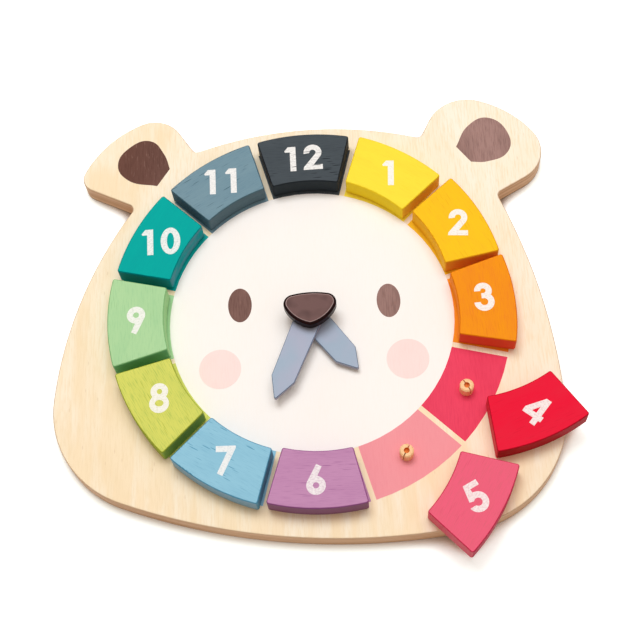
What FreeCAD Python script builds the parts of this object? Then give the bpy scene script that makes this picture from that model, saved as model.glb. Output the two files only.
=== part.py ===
import FreeCAD, Part
import Sketcher
import math
import os
import re

# Wooden clock puzzle: a head-shaped board, twelve hour blocks on split pegs, and two hands that
# turn on a post under a nose-shaped cap. Millimetres, +Z up. The origin is the dial's centre on
# the board's underside, +Y points to 12 o'clock and +X to 3 o'clock.

doc = FreeCAD.newDocument("ClockPuzzle")
sheet = doc.addObject("Spreadsheet::Sheet", "Sizes")

sizes = {
    # board and its rims
    "boardThickness": 12.5,
    "boardRimRadius": 1.0,
    "boardUnderChamfer": 0.7,
    "notchRadius": 3.5,
    # ring of hour blocks
    "blockInnerRadius": 85.8,
    "blockDepth": 33.2,
    "blockGap": 5.0,
    "blockHeight": 12.5,
    "blockCornerRadius": 1.4,
    "blockEdgeRadius": 0.9,
    "blockUnderChamfer": 0.6,
    # head outline: four corner rounds, each by its bearing, its radius and how far it reaches past the ring
    "rightTempleBearing": 43.9,
    "rightTempleMargin": 27.3,
    "rightTempleRadius": 30.0,
    "rightJowlBearing": 130.1,
    "rightJowlMargin": 46.3,
    "rightJowlRadius": 67.5,
    "leftJowlBearing": 241.9,
    "leftJowlMargin": 45.0,
    "leftJowlRadius": 62.5,
    "leftTempleBearing": 325.5,
    "leftTempleMargin": 19.0,
    "leftTempleRadius": 30.0,
    # head outline: the long arcs between the corner rounds
    "rightSideRadius": 377.0,
    "chinRadius": 381.0,
    "leftSideRadius": 254.0,
    "crownRadius": 221.0,
    # ears, placed from the centre of their temple's round: an upper and an outer round, the arc over
    # both, and where the flanks enter the head
    "rightEarUpperX": 21.6,
    "rightEarUpperY": 35.4,
    "rightEarUpperRadius": 26.0,
    "rightEarOuterX": 43.7,
    "rightEarOuterY": 22.3,
    "rightEarOuterRadius": 22.4,
    "rightEarBackRadius": 65.5,
    "rightEarUpperRootX": -17.2,
    "rightEarUpperRootY": 17.3,
    "rightEarOuterRootX": 17.6,
    "rightEarOuterRootY": -17.2,
    "leftEarUpperX": -34.0,
    "leftEarUpperY": 34.5,
    "leftEarUpperRadius": 19.5,
    "leftEarOuterX": -68.4,
    "leftEarOuterY": 15.5,
    "leftEarOuterRadius": 9.2,
    "leftEarBackRadius": 67.7,
    "leftEarUpperRootX": 4.3,
    "leftEarUpperRootY": 10.8,
    "leftEarOuterRootX": -31.1,
    "leftEarOuterRootY": -13.5,
    # split pegs and the sockets that fit them
    "pegInset": 14.5,
    "pegRadius": 4.0,
    "pegStandout": 7.4,
    "pegTenonRadius": 3.2,
    "pegDepth": 9.0,
    "pegGlueGap": 0.05,
    "pegTipChamfer": 0.7,
    "pegBoreRadius": 1.65,
    "pegBoreDepth": 9.0,
    "pegSlotWidth": 0.6,
    "pegSlotDepth": 6.5,
    "socketClearance": 0.25,
    "socketHeadroom": 1.2,
    # pivot
    "postRadius": 2.5,
    "postDepth": 8.5,
    "postGrip": 4.5,
    "postChamfer": 0.4,
    "postGlueGap": 0.05,
    "handClearance": 0.08,
    "stackClearance": 0.1,
    "washerRadius": 6.5,
    "washerBoreClearance": 0.15,
    "baseWasherThickness": 1.7,
    "handWasherThickness": 1.0,
    "capWasherThickness": 0.9,
    # hands
    "handThickness": 3.2,
    "handHubRadius": 8.0,
    "handEdgeChamfer": 0.35,
    "handShoulderRound": 2.0,
    "handTipRound": 0.9,
    "minuteHandLength": 57.8,
    "minuteShoulder": 44.3,
    "minuteShoulderWidth": 14.0,
    "hourHandLength": 44.2,
    "hourShoulder": 32.2,
    "hourShoulderWidth": 14.6,
    # nose cap
    "noseThickness": 6.5,
    "noseLobeX": 9.6,
    "noseLobeY": 3.0,
    "noseLobeRadius": 5.8,
    "noseTipDrop": 7.6,
    "noseTipRadius": 3.4,
    "noseBrowRadius": 50.5,
    "noseFlankRadius": 21.5,
    "noseRimRadius": 1.4,
    "noseUnderChamfer": 0.5,
}

# Bearings are in degrees, clockwise from 12 as seen from above.
hourCount = 12
hourStep = 360 / hourCount
hours = range(1, hourCount + 1)
handBearing = {"minute": 203.3, "hour": 143.5}

# How far each seated block is turned clockwise on its peg.
blockTurn = {12: -0.5, 1: 3.1, 2: 4.4, 3: -2.9, 6: 2.7, 7: 1.2, 8: 0.7, 9: -1.1, 10: -1.2, 11: -0.5}

# Blocks 4 and 5 lie loose on the board: the bearing of the block's middle, how far that is past the
# ring, and the bearing that its outer arc faces.
looseBlock = {
    4: {"bearing": 120.0, "past": 21.8, "facing": 160.2},
    5: {"bearing": 144.0, "past": 25.9, "facing": 122.1},
}

# Bearing of a peg's saw cut. The rest run across their radius.
slotBearing = {4: 151.0, 5: 29.0}

# Lengths that several pieces share, worked out from the sheet.
ringOuter = "(blockInnerRadius + blockDepth)"
pegCircle = "(blockInnerRadius + pegInset)"
pegLength = "(pegDepth + pegStandout)"

for row, (name, value) in enumerate(sizes.items(), start=1):
    sheet.set("A%d" % row, name)
    sheet.set("B%d" % row, str(value))
    sheet.setAlias("B%d" % row, name)
doc.recompute()


# ---------------------------------------------------------------- helpers

def size(expression):
    """Value of an expression written with the sheet's own names."""
    return float(sheet.evalExpression(expression))


def bound(expression):
    """The same expression, written for an object outside the sheet."""
    return re.sub("[A-Za-z]+", lambda word: "Sizes." * (word[0] in sizes) + word[0], expression)


def bind(feature, propertyName, expression):
    feature.setExpression(propertyName, bound(expression))


def newBody(label):
    body = doc.addObject("PartDesign::Body", label)
    body.Label = label
    return body


def plane(body, role):
    return next(item for item in body.Origin.OriginFeatures if item.Role == role)


def newSketch(body, name, height="0"):
    """Sketch parallel to the body's XY plane, at a height above it."""
    sketch = body.newObject("Sketcher::SketchObject", name)
    sketch.AttachmentSupport = [(plane(body, "XY_Plane"), "")]
    sketch.MapMode = "FlatFace"
    bind(sketch, "AttachmentOffset.Base.z", height)
    return sketch


def dimension(sketch, kind, places, expression):
    """Adds a constraint whose value follows the sheet."""
    index = sketch.addConstraint(Sketcher.Constraint(kind, *places, size(expression)))
    bind(sketch, "Constraints[%d]" % index, expression)


def fixPoint(sketch, geometry, vertex, x, y):
    """Places a point by its two distances from the origin, or on an axis where one is nothing."""
    here, origin = (geometry, vertex), (-1, 1)
    for kind, expression, axis in (("DistanceX", x, -2), ("DistanceY", y, -1)):
        if size(expression) > 0:
            dimension(sketch, kind, origin + here, expression)
        elif size(expression) < 0:
            dimension(sketch, kind, here + origin, "-(" + expression + ")")
        else:
            sketch.addConstraint(Sketcher.Constraint("PointOnObject", *here, axis))


def addCircle(sketch, radius, y="0"):
    """Circle on the Y axis, at the origin unless a height up it is given."""
    centre = FreeCAD.Vector(0, size(y), 0)
    circle = sketch.addGeometry(Part.Circle(centre, FreeCAD.Vector(0, 0, 1), size(radius)))
    dimension(sketch, "Radius", (circle,), radius)
    fixPoint(sketch, circle, 3, "0", y)


def addRectangle(sketch, width, depth):
    """Rectangle centred on the origin."""
    x, y = size(width) / 2, size(depth) / 2
    corners = [FreeCAD.Vector(*pair, 0) for pair in ((-x, -y), (x, -y), (x, y), (-x, y))]
    following = corners[1:] + corners[:1]
    lines = [sketch.addGeometry(Part.LineSegment(*ends)) for ends in zip(corners, following)]
    for here, after in zip(lines, lines[1:] + lines[:1]):
        sketch.addConstraint(Sketcher.Constraint("Coincident", here, 2, after, 1))
    for line, kind in zip(lines, ("Horizontal", "Vertical", "Horizontal", "Vertical")):
        sketch.addConstraint(Sketcher.Constraint(kind, line))
    sketch.addConstraint(Sketcher.Constraint("Symmetric", lines[0], 1, lines[1], 2, -1, 1))
    dimension(sketch, "Distance", (lines[0],), width)
    dimension(sketch, "Distance", (lines[1],), depth)


def extrude(body, kind, sketch, length, upward=True):
    """Pad or Pocket of a sketch, along +Z or -Z."""
    feature = body.newObject("PartDesign::" + kind, sketch.Name + kind)
    feature.Profile = sketch
    bind(feature, "Length", length)
    feature.Reversed = (kind == "Pocket") == upward
    doc.recompute()
    return feature


def dress(body, kind, base, edges, expression):
    """Fillet or Chamfer on the numbered edges of the feature before it."""
    feature = body.newObject("PartDesign::" + kind, body.Name + kind)
    feature.Base = (base, ["Edge%d" % (number + 1) for number in edges])
    bind(feature, "Radius" if kind == "Fillet" else "Size", expression)
    doc.recompute()
    return feature


def uprightEdges(shape, wanted):
    """Numbers of the straight upright edges whose foot passes the wanted(x, y) test."""
    found = []
    for number, edge in enumerate(shape.Edges):
        if not isinstance(edge.Curve, Part.Line):
            continue
        ends = [vertex.Point for vertex in edge.Vertexes]
        upright = (ends[0] - ends[1]).getAngle(FreeCAD.Vector(0, 0, 1)) % math.pi < 0.001
        if upright and wanted(ends[0].x, ends[0].y):
            found.append(number)
    return found


def rimEdges(shape, height):
    """Numbers of the outer edges of the flat face at a height."""
    level = [face for face in shape.Faces
             if isinstance(face.Surface, Part.Plane) and abs(face.CenterOfMass.z - height) < 0.001
             and abs(face.normalAt(0, 0).z) > 0.999]
    rim = [edge for face in level for edge in face.OuterWire.Edges]
    return [number for number, edge in enumerate(shape.Edges) if any(edge.isSame(one) for one in rim)]


def easeRims(body, solid, thickness, topRadius, underChamfer):
    """Rounds the upper rim of a flat piece and takes the sharp corner off the lower one."""
    top = dress(body, "Fillet", solid, rimEdges(solid.Shape, size(thickness)), topRadius)
    return dress(body, "Chamfer", top, rimEdges(top.Shape, 0), underChamfer)


def place(body, height, x="0", y="0", bearing=0.0):
    """Sets a body down at a height, turned clockwise as seen from above."""
    turn = FreeCAD.Rotation(FreeCAD.Vector(0, 0, 1), -bearing)
    body.Placement = FreeCAD.Placement(FreeCAD.Vector(size(x), size(y), size(height)), turn)
    for axis, expression in zip("xyz", (x, y, height)):
        bind(body, "Placement.Base." + axis, expression)


def fromCentre(distance, bearing):
    """Expressions for the point at a distance and bearing from the dial's centre."""
    return "%s * sin(%s)" % (distance, bearing), "%s * cos(%s)" % (distance, bearing)


def shift(start, step, sign="+"):
    """Adds one pair of expressions to another, or takes it away."""
    return tuple("%s %s %s" % (here, sign, there) for here, there in zip(start, step))


# ---------------------------------------------------------------- outlines made of tangent arcs

def linkCentre(first, second, radius):
    """Centre of the arc that passes round two circles and touches both, on their right-hand side."""
    (a, ra), (b, rb) = first, second
    span = (b - a).Length
    along = (b - a).normalize()
    aside = FreeCAD.Vector(along.y, -along.x, 0)
    reachA, reachB = radius - ra, radius - rb
    foot = (reachA ** 2 - reachB ** 2 + span ** 2) / (2 * span)
    return a + along * foot + aside * math.sqrt(reachA ** 2 - foot ** 2)


def clockwiseArc(centre, radius, start, end):
    """Arc from start to end going clockwise. Its own direction is the other way round."""
    angles = [math.atan2(point.y - centre.y, point.x - centre.x) for point in (end, start)]
    circle = Part.Circle(centre, FreeCAD.Vector(0, 0, 1), radius)
    return Part.ArcOfCircle(circle, angles[0], angles[1])


def touchPoint(centre, radius, circle):
    """Where a link arc touches a corner circle from outside."""
    return centre + (circle[0] - centre).normalize() * radius


def cornerCircle(place, radius):
    return FreeCAD.Vector(size(place[0]), size(place[1]), 0), size(radius)


def tangentJoin(sketch, geometry):
    """Joins each arc's end to the next one's start, smoothly, round the whole loop."""
    for here, following in zip(geometry, geometry[1:] + geometry[:1]):
        sketch.addConstraint(Sketcher.Constraint("Tangent", here, 1, following, 2))


def roundedLoop(sketch, corners, links):
    """Closed clockwise loop of corner rounds (place, radius) joined by link arcs (radius)."""
    circles = [cornerCircle(*corner) for corner in corners]
    following = circles[1:] + circles[:1]
    radii = [size(link) for link in links]
    centres = [linkCentre(a, b, r) for a, b, r in zip(circles, following, radii)]
    leave = [touchPoint(c, r, a) for c, r, a in zip(centres, radii, circles)]
    arrive = [touchPoint(c, r, b) for c, r, b in zip(centres, radii, following)]
    loop = []
    for index, (corner, link) in enumerate(zip(corners, links)):
        middle, radius = circles[index]
        loop.append(sketch.addGeometry(clockwiseArc(middle, radius, arrive[index - 1], leave[index])))
        loop.append(sketch.addGeometry(
            clockwiseArc(centres[index], radii[index], leave[index], arrive[index])))
        fixPoint(sketch, loop[-2], 3, *corner[0])
        dimension(sketch, "Radius", (loop[-2],), corner[1])
        dimension(sketch, "Radius", (loop[-1],), link)
    tangentJoin(sketch, loop)


def flankTouch(root, circle, side):
    """Where the line from a root point touches a circle; side 1 passes it on the left."""
    centre, radius = circle
    reach = centre - root
    length = math.sqrt(reach.Length ** 2 - radius ** 2)
    swing = math.asin(radius / reach.Length) * side
    direction = FreeCAD.Rotation(FreeCAD.Vector(0, 0, 1), math.degrees(swing)).multVec(reach)
    return root + direction.normalize() * length


def headCorner(name):
    """Place and radius of one of the head's corner rounds."""
    reach = "(%s + %sMargin - %sRadius)" % (ringOuter, name, name)
    return fromCentre(reach, name + "Bearing"), name + "Radius"


def earLoop(sketch, side):
    """An ear: flank, round, back arc, round, flank, and a chord buried in the head."""
    temple = headCorner(side + "Temple")[0]
    names = [side + "EarUpper", side + "EarOuter"]
    if side == "left":                                    # keeps the loop clockwise
        names.reverse()
    corners = [(shift(temple, (name + "X", name + "Y")), name + "Radius") for name in names]
    roots = [shift(temple, (name + "RootX", name + "RootY")) for name in names]
    circles = [cornerCircle(*corner) for corner in corners]
    feet = [cornerCircle(root, "0")[0] for root in roots]
    back = size(side + "EarBackRadius")
    centre = linkCentre(circles[0], circles[1], back)
    touches = [touchPoint(centre, back, circle) for circle in circles]
    rise = flankTouch(feet[0], circles[0], 1)
    fall = flankTouch(feet[1], circles[1], -1)
    first = sketch.addGeometry(Part.LineSegment(feet[0], rise))
    roundA = sketch.addGeometry(clockwiseArc(*circles[0], rise, touches[0]))
    over = sketch.addGeometry(clockwiseArc(centre, back, touches[0], touches[1]))
    roundB = sketch.addGeometry(clockwiseArc(*circles[1], touches[1], fall))
    last = sketch.addGeometry(Part.LineSegment(fall, feet[1]))
    chord = sketch.addGeometry(Part.LineSegment(feet[1], feet[0]))
    for join in ((first, 2, roundA, 2), (roundA, 1, over, 2), (over, 1, roundB, 2), (roundB, 1, last, 1)):
        sketch.addConstraint(Sketcher.Constraint("Tangent", *join))
    for join in ((last, 2, chord, 1), (chord, 2, first, 1)):
        sketch.addConstraint(Sketcher.Constraint("Coincident", *join))
    fixPoint(sketch, first, 1, *roots[0])
    fixPoint(sketch, last, 2, *roots[1])
    for arc, corner in ((roundA, corners[0]), (roundB, corners[1])):
        fixPoint(sketch, arc, 3, *corner[0])
        dimension(sketch, "Radius", (arc,), corner[1])
    dimension(sketch, "Radius", (over,), side + "EarBackRadius")


# ---------------------------------------------------------------- board

def makeBoard():
    board = newBody("board")
    head = newSketch(board, "HeadOutline")
    corners = [headCorner(name) for name in ("rightTemple", "rightJowl", "leftJowl", "leftTemple")]
    roundedLoop(head, corners, ["rightSideRadius", "chinRadius", "leftSideRadius", "crownRadius"])
    extrude(board, "Pad", head, "boardThickness")
    headSide = board.Tip.Shape.copy()
    for side in ("right", "left"):
        ear = newSketch(board, side.capitalize() + "EarOutline")
        earLoop(ear, side)
        solid = extrude(board, "Pad", ear, "boardThickness")

    # the four notches where an ear's flank meets the head's own outline
    def inNotch(x, y):
        point = Part.Vertex(x, y, 0)
        onHead = headSide.distToShape(point)[0] < 0.001
        return onHead and not any(abs(v.X - x) + abs(v.Y - y) < 0.001 for v in headSide.Vertexes)

    notched = dress(board, "Fillet", solid, uprightEdges(solid.Shape, inNotch), "notchRadius")
    easeRims(board, notched, "boardThickness", "boardRimRadius", "boardUnderChamfer")

    pegHole = newSketch(board, "PegHole", "boardThickness")
    addCircle(pegHole, "pegTenonRadius + pegGlueGap", y=pegCircle)
    hole = extrude(board, "Pocket", pegHole, "pegDepth", upward=False)
    ring = board.newObject("PartDesign::PolarPattern", "PegHoleRing")
    ring.Originals = [hole]
    ring.Axis = (plane(board, "Z_Axis"), [""])
    ring.Angle = 360
    ring.Occurrences = hourCount
    board.Tip = ring
    postHole = newSketch(board, "PostHole", "boardThickness")
    addCircle(postHole, "postRadius + postGlueGap")
    extrude(board, "Pocket", postHole, "postDepth", upward=False)
    return board


# ---------------------------------------------------------------- split pegs

def makePeg(hour):
    """Peg with its tenon glued into the board, bored down its middle and sawn across its standing end."""
    peg = newBody("peg_%02d" % hour)
    tenon = newSketch(peg, "PegTenon")
    addCircle(tenon, "pegTenonRadius")
    extrude(peg, "Pad", tenon, "pegDepth")
    outline = newSketch(peg, "PegRound", "pegDepth")
    addCircle(outline, "pegRadius")
    stem = extrude(peg, "Pad", outline, "pegStandout")
    dress(peg, "Chamfer", stem, rimEdges(stem.Shape, size(pegLength)), "pegTipChamfer")
    bore = newSketch(peg, "PegBore", pegLength)
    addCircle(bore, "pegBoreRadius")
    extrude(peg, "Pocket", bore, "pegBoreDepth", upward=False)
    cut = newSketch(peg, "PegSlot", pegLength)
    addRectangle(cut, "pegSlotWidth", "3 * pegRadius")
    extrude(peg, "Pocket", cut, "pegSlotDepth", upward=False)
    bearing = hourStep * hour
    across = bearing + 90
    place(peg, "boardThickness - pegDepth", *fromCentre(pegCircle, bearing), slotBearing.get(hour, across))
    return peg


# ---------------------------------------------------------------- hour blocks

def makeBlock(hour):
    """Ring sector, drawn about the dial's centre with its middle at 12, with a blind socket below."""
    block = newBody("block_%02d" % hour)
    outline = newSketch(block, "BlockOutline")
    addSector(outline)
    slab = extrude(block, "Pad", outline, "blockHeight")
    corners = dress(block, "Fillet", slab, uprightEdges(slab.Shape, lambda x, y: True), "blockCornerRadius")
    easeRims(block, corners, "blockHeight", "blockEdgeRadius", "blockUnderChamfer")
    socket = newSketch(block, "PegSocket")
    addCircle(socket, "pegRadius + socketClearance", y=pegCircle)
    extrude(block, "Pocket", socket, "pegStandout + socketHeadroom")

    if hour in looseBlock:
        spot = looseBlock[hour]
        bearing = spot["facing"]
        target = fromCentre("(%s + %s)" % (ringOuter, spot["past"]), spot["bearing"])
        pinned = fromCentre("(blockInnerRadius + blockDepth / 2)", bearing)
    else:
        bearing = hourStep * hour + blockTurn[hour]
        target = fromCentre(pegCircle, hourStep * hour)
        pinned = fromCentre(pegCircle, bearing)
    place(block, "boardThickness", *shift(target, pinned, "-"), bearing)
    return block


def addSector(sketch):
    """Ring sector, one hour wide, whose straight sides stand half a gap inside the hour's own."""
    inner, outer, inset = (size(word) for word in ("blockInnerRadius", ringOuter, "blockGap / 2"))
    slant = math.radians(hourStep / 2)
    outward = FreeCAD.Vector(math.sin(slant), math.cos(slant), 0)
    across = FreeCAD.Vector(-math.cos(slant), math.sin(slant), 0)
    right = [outward * math.sqrt(r ** 2 - inset ** 2) + across * inset for r in (inner, outer)]
    left = [FreeCAD.Vector(-point.x, point.y, 0) for point in right]
    centre = FreeCAD.Vector(0, 0, 0)
    rightSide = sketch.addGeometry(Part.LineSegment(right[0], right[1]))
    outerArc = sketch.addGeometry(clockwiseArc(centre, outer, left[1], right[1]))
    leftSide = sketch.addGeometry(Part.LineSegment(left[0], left[1]))
    innerArc = sketch.addGeometry(clockwiseArc(centre, inner, left[0], right[0]))
    for join in ((rightSide, 2, outerArc, 1), (outerArc, 2, leftSide, 2),
                 (leftSide, 1, innerArc, 2), (innerArc, 1, rightSide, 1)):
        sketch.addConstraint(Sketcher.Constraint("Coincident", *join))
    for arc, radius in ((innerArc, "blockInnerRadius"), (outerArc, ringOuter)):
        sketch.addConstraint(Sketcher.Constraint("Coincident", arc, 3, -1, 1))
        dimension(sketch, "Radius", (arc,), radius)
    for side, lean in ((rightSide, -slant), (leftSide, slant)):
        sketch.addConstraint(Sketcher.Constraint("Angle", side, math.pi / 2 + lean))
        dimension(sketch, "Distance", (-1, 1, side), "blockGap / 2")


# ---------------------------------------------------------------- hands

def makeHand(word, base):
    """Flat pointer: round hub, sides that draw in slightly to the shoulders, and a pointed end."""
    hand = newBody(word + "_hand")
    outline = newSketch(hand, "HandOutline")
    addPointer(outline, word)
    blank = extrude(hand, "Pad", outline, "handThickness")
    tip, shoulder = size(word + "HandLength"), size(word + "Shoulder")
    ends = uprightEdges(blank.Shape, lambda x, y: abs(y - tip) < 0.001)
    pointed = dress(hand, "Fillet", blank, ends, "handTipRound")
    sides = uprightEdges(pointed.Shape, lambda x, y: abs(y - shoulder) < 0.001)
    eased = dress(hand, "Fillet", pointed, sides, "handShoulderRound")
    rims = rimEdges(eased.Shape, 0) + rimEdges(eased.Shape, size("handThickness"))
    dress(hand, "Chamfer", eased, rims, "handEdgeChamfer")
    bore = newSketch(hand, "HandBore")
    addCircle(bore, "postRadius + handClearance")
    extrude(hand, "Pocket", bore, "handThickness")
    place(hand, base, bearing=handBearing[word])
    return hand


def addPointer(sketch, word):
    length, shoulder = word + "HandLength", word + "Shoulder"
    halfWidth = word + "ShoulderWidth / 2"
    hub = cornerCircle(("0", "0"), "handHubRadius")
    tip = FreeCAD.Vector(0, size(length), 0)
    right = FreeCAD.Vector(size(halfWidth), size(shoulder), 0)
    left = FreeCAD.Vector(-right.x, right.y, 0)
    rightTouch = flankTouch(right, hub, 1)
    leftTouch = flankTouch(left, hub, -1)
    rightSide = sketch.addGeometry(Part.LineSegment(rightTouch, right))
    rightPoint = sketch.addGeometry(Part.LineSegment(right, tip))
    leftPoint = sketch.addGeometry(Part.LineSegment(tip, left))
    leftSide = sketch.addGeometry(Part.LineSegment(left, leftTouch))
    end = sketch.addGeometry(clockwiseArc(hub[0], hub[1], rightTouch, leftTouch))
    for here, following in ((rightSide, rightPoint), (rightPoint, leftPoint), (leftPoint, leftSide)):
        sketch.addConstraint(Sketcher.Constraint("Coincident", here, 2, following, 1))
    sketch.addConstraint(Sketcher.Constraint("Tangent", leftSide, 2, end, 1))
    sketch.addConstraint(Sketcher.Constraint("Tangent", end, 2, rightSide, 1))
    sketch.addConstraint(Sketcher.Constraint("Coincident", end, 3, -1, 1))
    dimension(sketch, "Radius", (end,), "handHubRadius")
    fixPoint(sketch, rightPoint, 1, halfWidth, shoulder)
    sketch.addConstraint(Sketcher.Constraint("Symmetric", rightPoint, 1, leftSide, 1, -2))
    sketch.addConstraint(Sketcher.Constraint("PointOnObject", rightPoint, 2, -2))
    dimension(sketch, "DistanceY", (-1, 1, rightPoint, 2), length)


# ---------------------------------------------------------------- post, washers and cap

# Heights of the stack above the board's underside, each built on the one below.
baseWasherFoot = "boardThickness"
hourHandFoot = baseWasherFoot + " + baseWasherThickness + stackClearance"
handWasherFoot = hourHandFoot + " + handThickness + stackClearance"
minuteHandFoot = handWasherFoot + " + handWasherThickness + stackClearance"
capWasherFoot = minuteHandFoot + " + handThickness + stackClearance"
noseFoot = capWasherFoot + " + capWasherThickness + stackClearance"


def makePost():
    """Round post, glued into the board and into the cap, with its two ends chamfered."""
    post = newBody("pivot_post")
    outline = newSketch(post, "PostRound")
    addCircle(outline, "postRadius")
    length = "postDepth - boardThickness + " + noseFoot + " + postGrip"
    bar = extrude(post, "Pad", outline, length)
    dress(post, "Chamfer", bar, rimEdges(bar.Shape, 0) + rimEdges(bar.Shape, size(length)), "postChamfer")
    place(post, "boardThickness - postDepth")
    return post


def makeWasher(label, thickness, foot):
    washer = newBody(label)
    outline = newSketch(washer, "WasherRing")
    addCircle(outline, "washerRadius")
    addCircle(outline, "postRadius + washerBoreClearance")
    extrude(washer, "Pad", outline, thickness)
    place(washer, foot)
    return washer


def makeNose():
    """Rounded triangular cap, broad at the brow, with a blind hole for the post underneath."""
    nose = newBody("nose_cap")
    outline = newSketch(nose, "NoseOutline")
    roundedLoop(
        outline,
        [(("noseLobeX", "noseLobeY"), "noseLobeRadius"),
         (("0", "-noseTipDrop"), "noseTipRadius"),
         (("-noseLobeX", "noseLobeY"), "noseLobeRadius")],
        ["noseFlankRadius", "noseFlankRadius", "noseBrowRadius"])
    slab = extrude(nose, "Pad", outline, "noseThickness")
    easeRims(nose, slab, "noseThickness", "noseRimRadius", "noseUnderChamfer")
    hole = newSketch(nose, "PostSeat")
    addCircle(hole, "postRadius + postGlueGap")
    extrude(nose, "Pocket", hole, "postGrip + postGlueGap")
    place(nose, noseFoot)
    return nose


# ---------------------------------------------------------------- assembly

pieces = [makeBoard()]
pieces += [makePeg(hour) for hour in hours]
pieces += [makeBlock(hour) for hour in hours]
pieces += [makeHand("hour", hourHandFoot), makeHand("minute", minuteHandFoot)]
pieces += [
    makePost(),
    makeWasher("base_washer", "baseWasherThickness", baseWasherFoot),
    makeWasher("hand_washer", "handWasherThickness", handWasherFoot),
    makeWasher("cap_washer", "capWasherThickness", capWasherFoot),
    makeNose(),
]
doc.recompute()

failed = [item.Label for item in doc.Objects if "Invalid" in item.State or "Error" in item.State]
failed += [item.Label for item in pieces if item.Shape.isNull() or not item.Shape.isValid()]
failed += [item.Label for item in pieces if len(item.Shape.Solids) != 1]
if failed:
    raise RuntimeError("these did not build: " + ", ".join(failed))

os.makedirs("parts", exist_ok=True)
for item in pieces:
    item.Shape.exportStep(os.path.join("parts", item.Label + ".step"))
    box = item.Shape.BoundBox
    print("%-12s %9.1f mm3  x %.1f %.1f  y %.1f %.1f  z %.2f %.2f" % (
        item.Label, item.Shape.Volume, box.XMin, box.XMax, box.YMin, box.YMax, box.ZMin, box.ZMax))
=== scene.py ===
import math

import bpy
from mathutils import Matrix, Vector


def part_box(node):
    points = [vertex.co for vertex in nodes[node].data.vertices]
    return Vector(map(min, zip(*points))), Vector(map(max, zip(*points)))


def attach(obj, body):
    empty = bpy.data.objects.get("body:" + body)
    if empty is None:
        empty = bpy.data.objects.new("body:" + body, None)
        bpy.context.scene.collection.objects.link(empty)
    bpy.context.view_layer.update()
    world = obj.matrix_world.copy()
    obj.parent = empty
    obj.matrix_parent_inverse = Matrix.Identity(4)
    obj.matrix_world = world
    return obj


# Wooden clock puzzle: a head-shaped birch board with twelve dyed hour blocks on split pegs and two
# painted hands on a post. The solids come from the frame; this script adds the inks and the finishes.

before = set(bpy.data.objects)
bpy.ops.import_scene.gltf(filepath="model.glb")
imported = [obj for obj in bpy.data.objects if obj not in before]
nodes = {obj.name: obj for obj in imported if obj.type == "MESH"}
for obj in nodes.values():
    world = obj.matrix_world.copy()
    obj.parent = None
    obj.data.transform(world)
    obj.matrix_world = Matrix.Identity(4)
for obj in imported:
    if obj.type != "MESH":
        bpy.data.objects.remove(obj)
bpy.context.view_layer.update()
mm = 0.001
hourStep = 30               # degrees of the dial
reliefDepth = 0.1 * mm      # how deep fibres, runs and orange peel go at a bump strength of 1
boardTop, blockTop, pegTop, noseTop = (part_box(name)[1].z
                                       for name in ("board", "block_12", "peg_12", "nose_cap"))
print("frame loaded:", len(nodes), "solids")


def linear(hexColour):
    channels = [int(hexColour[at:at + 2], 16) / 255 for at in (1, 3, 5)]
    return tuple(c / 12.92 if c <= 0.04045 else ((c + 0.055) / 1.055) ** 2.4 for c in channels) + (1,)


def addNode(tree, kind, inputs=None, **settings):
    made = tree.nodes.new("ShaderNode" + kind)
    for name, value in settings.items():
        setattr(made, name, value)
    for socket, value in (inputs or {}).items():
        if isinstance(value, bpy.types.NodeSocket):
            tree.links.new(value, made.inputs[socket])
        else:
            made.inputs[socket].default_value = linear(value) if isinstance(value, str) else value
    return made


def addObject(name, data):
    made = bpy.data.objects.new(name, data)
    bpy.context.scene.collection.objects.link(made)
    return made


def addMesh(name, points, faces, material):
    mesh = bpy.data.meshes.new(name)
    mesh.from_pydata(points, [], faces)
    mesh.materials.append(material)
    return addObject(name, mesh)


def towards(bearing):
    # The way that a bearing points, in degrees clockwise from 12.
    angle = math.radians(bearing)
    return Vector((math.sin(angle), math.cos(angle), 0))


def startMaterial(name):
    material = bpy.data.materials.new(name)
    material.use_nodes = True
    tree = material.node_tree
    tree.nodes.clear()
    return material, tree


def endMaterial(tree, inputs):
    surface = addNode(tree, "BsdfPrincipled", inputs)
    addNode(tree, "OutputMaterial", {"Surface": surface.outputs["BSDF"]})


def patternSpace(tree, size, turn=0, offset=(0, 0, 0)):
    # Turns the pattern about Z, then makes one unit of it as large as the given size in mm.
    place = addNode(tree, "TexCoord").outputs["Object"]
    turned = addNode(tree, "Mapping", {"Vector": place, "Rotation": (0, 0, math.radians(turn)),
                                       "Location": [shift * mm for shift in offset]})
    return addNode(tree, "Mapping", {"Vector": turned.outputs["Vector"],
                                     "Scale": [1 / (length * mm) for length in size]}).outputs["Vector"]


def layTone(tree, base, tone, pattern, low, high, most=1.0):
    # Lays a tone over a base where a pattern climbs from low to high, up to the share most.
    share = addNode(tree, "MapRange", {"Value": pattern, "From Min": low, "From Max": high, "To Max": most})
    return addNode(tree, "Mix", {0: share.outputs["Result"], 6: base, 7: tone}, data_type="RGBA").outputs[2]


def sideShare(tree, start, end):
    # 0 on tops, 1 on upright sides: it climbs as the upright part of the normal falls from end to start.
    normal = addNode(tree, "SeparateXYZ", {"Vector": addNode(tree, "TexCoord").outputs["Normal"]})
    steep = addNode(tree, "Math", {0: normal.outputs["Z"]}, operation="ABSOLUTE")
    return addNode(tree, "MapRange", {"Value": steep.outputs["Value"], "From Min": end,
                                      "From Max": start}).outputs["Result"]


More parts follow.
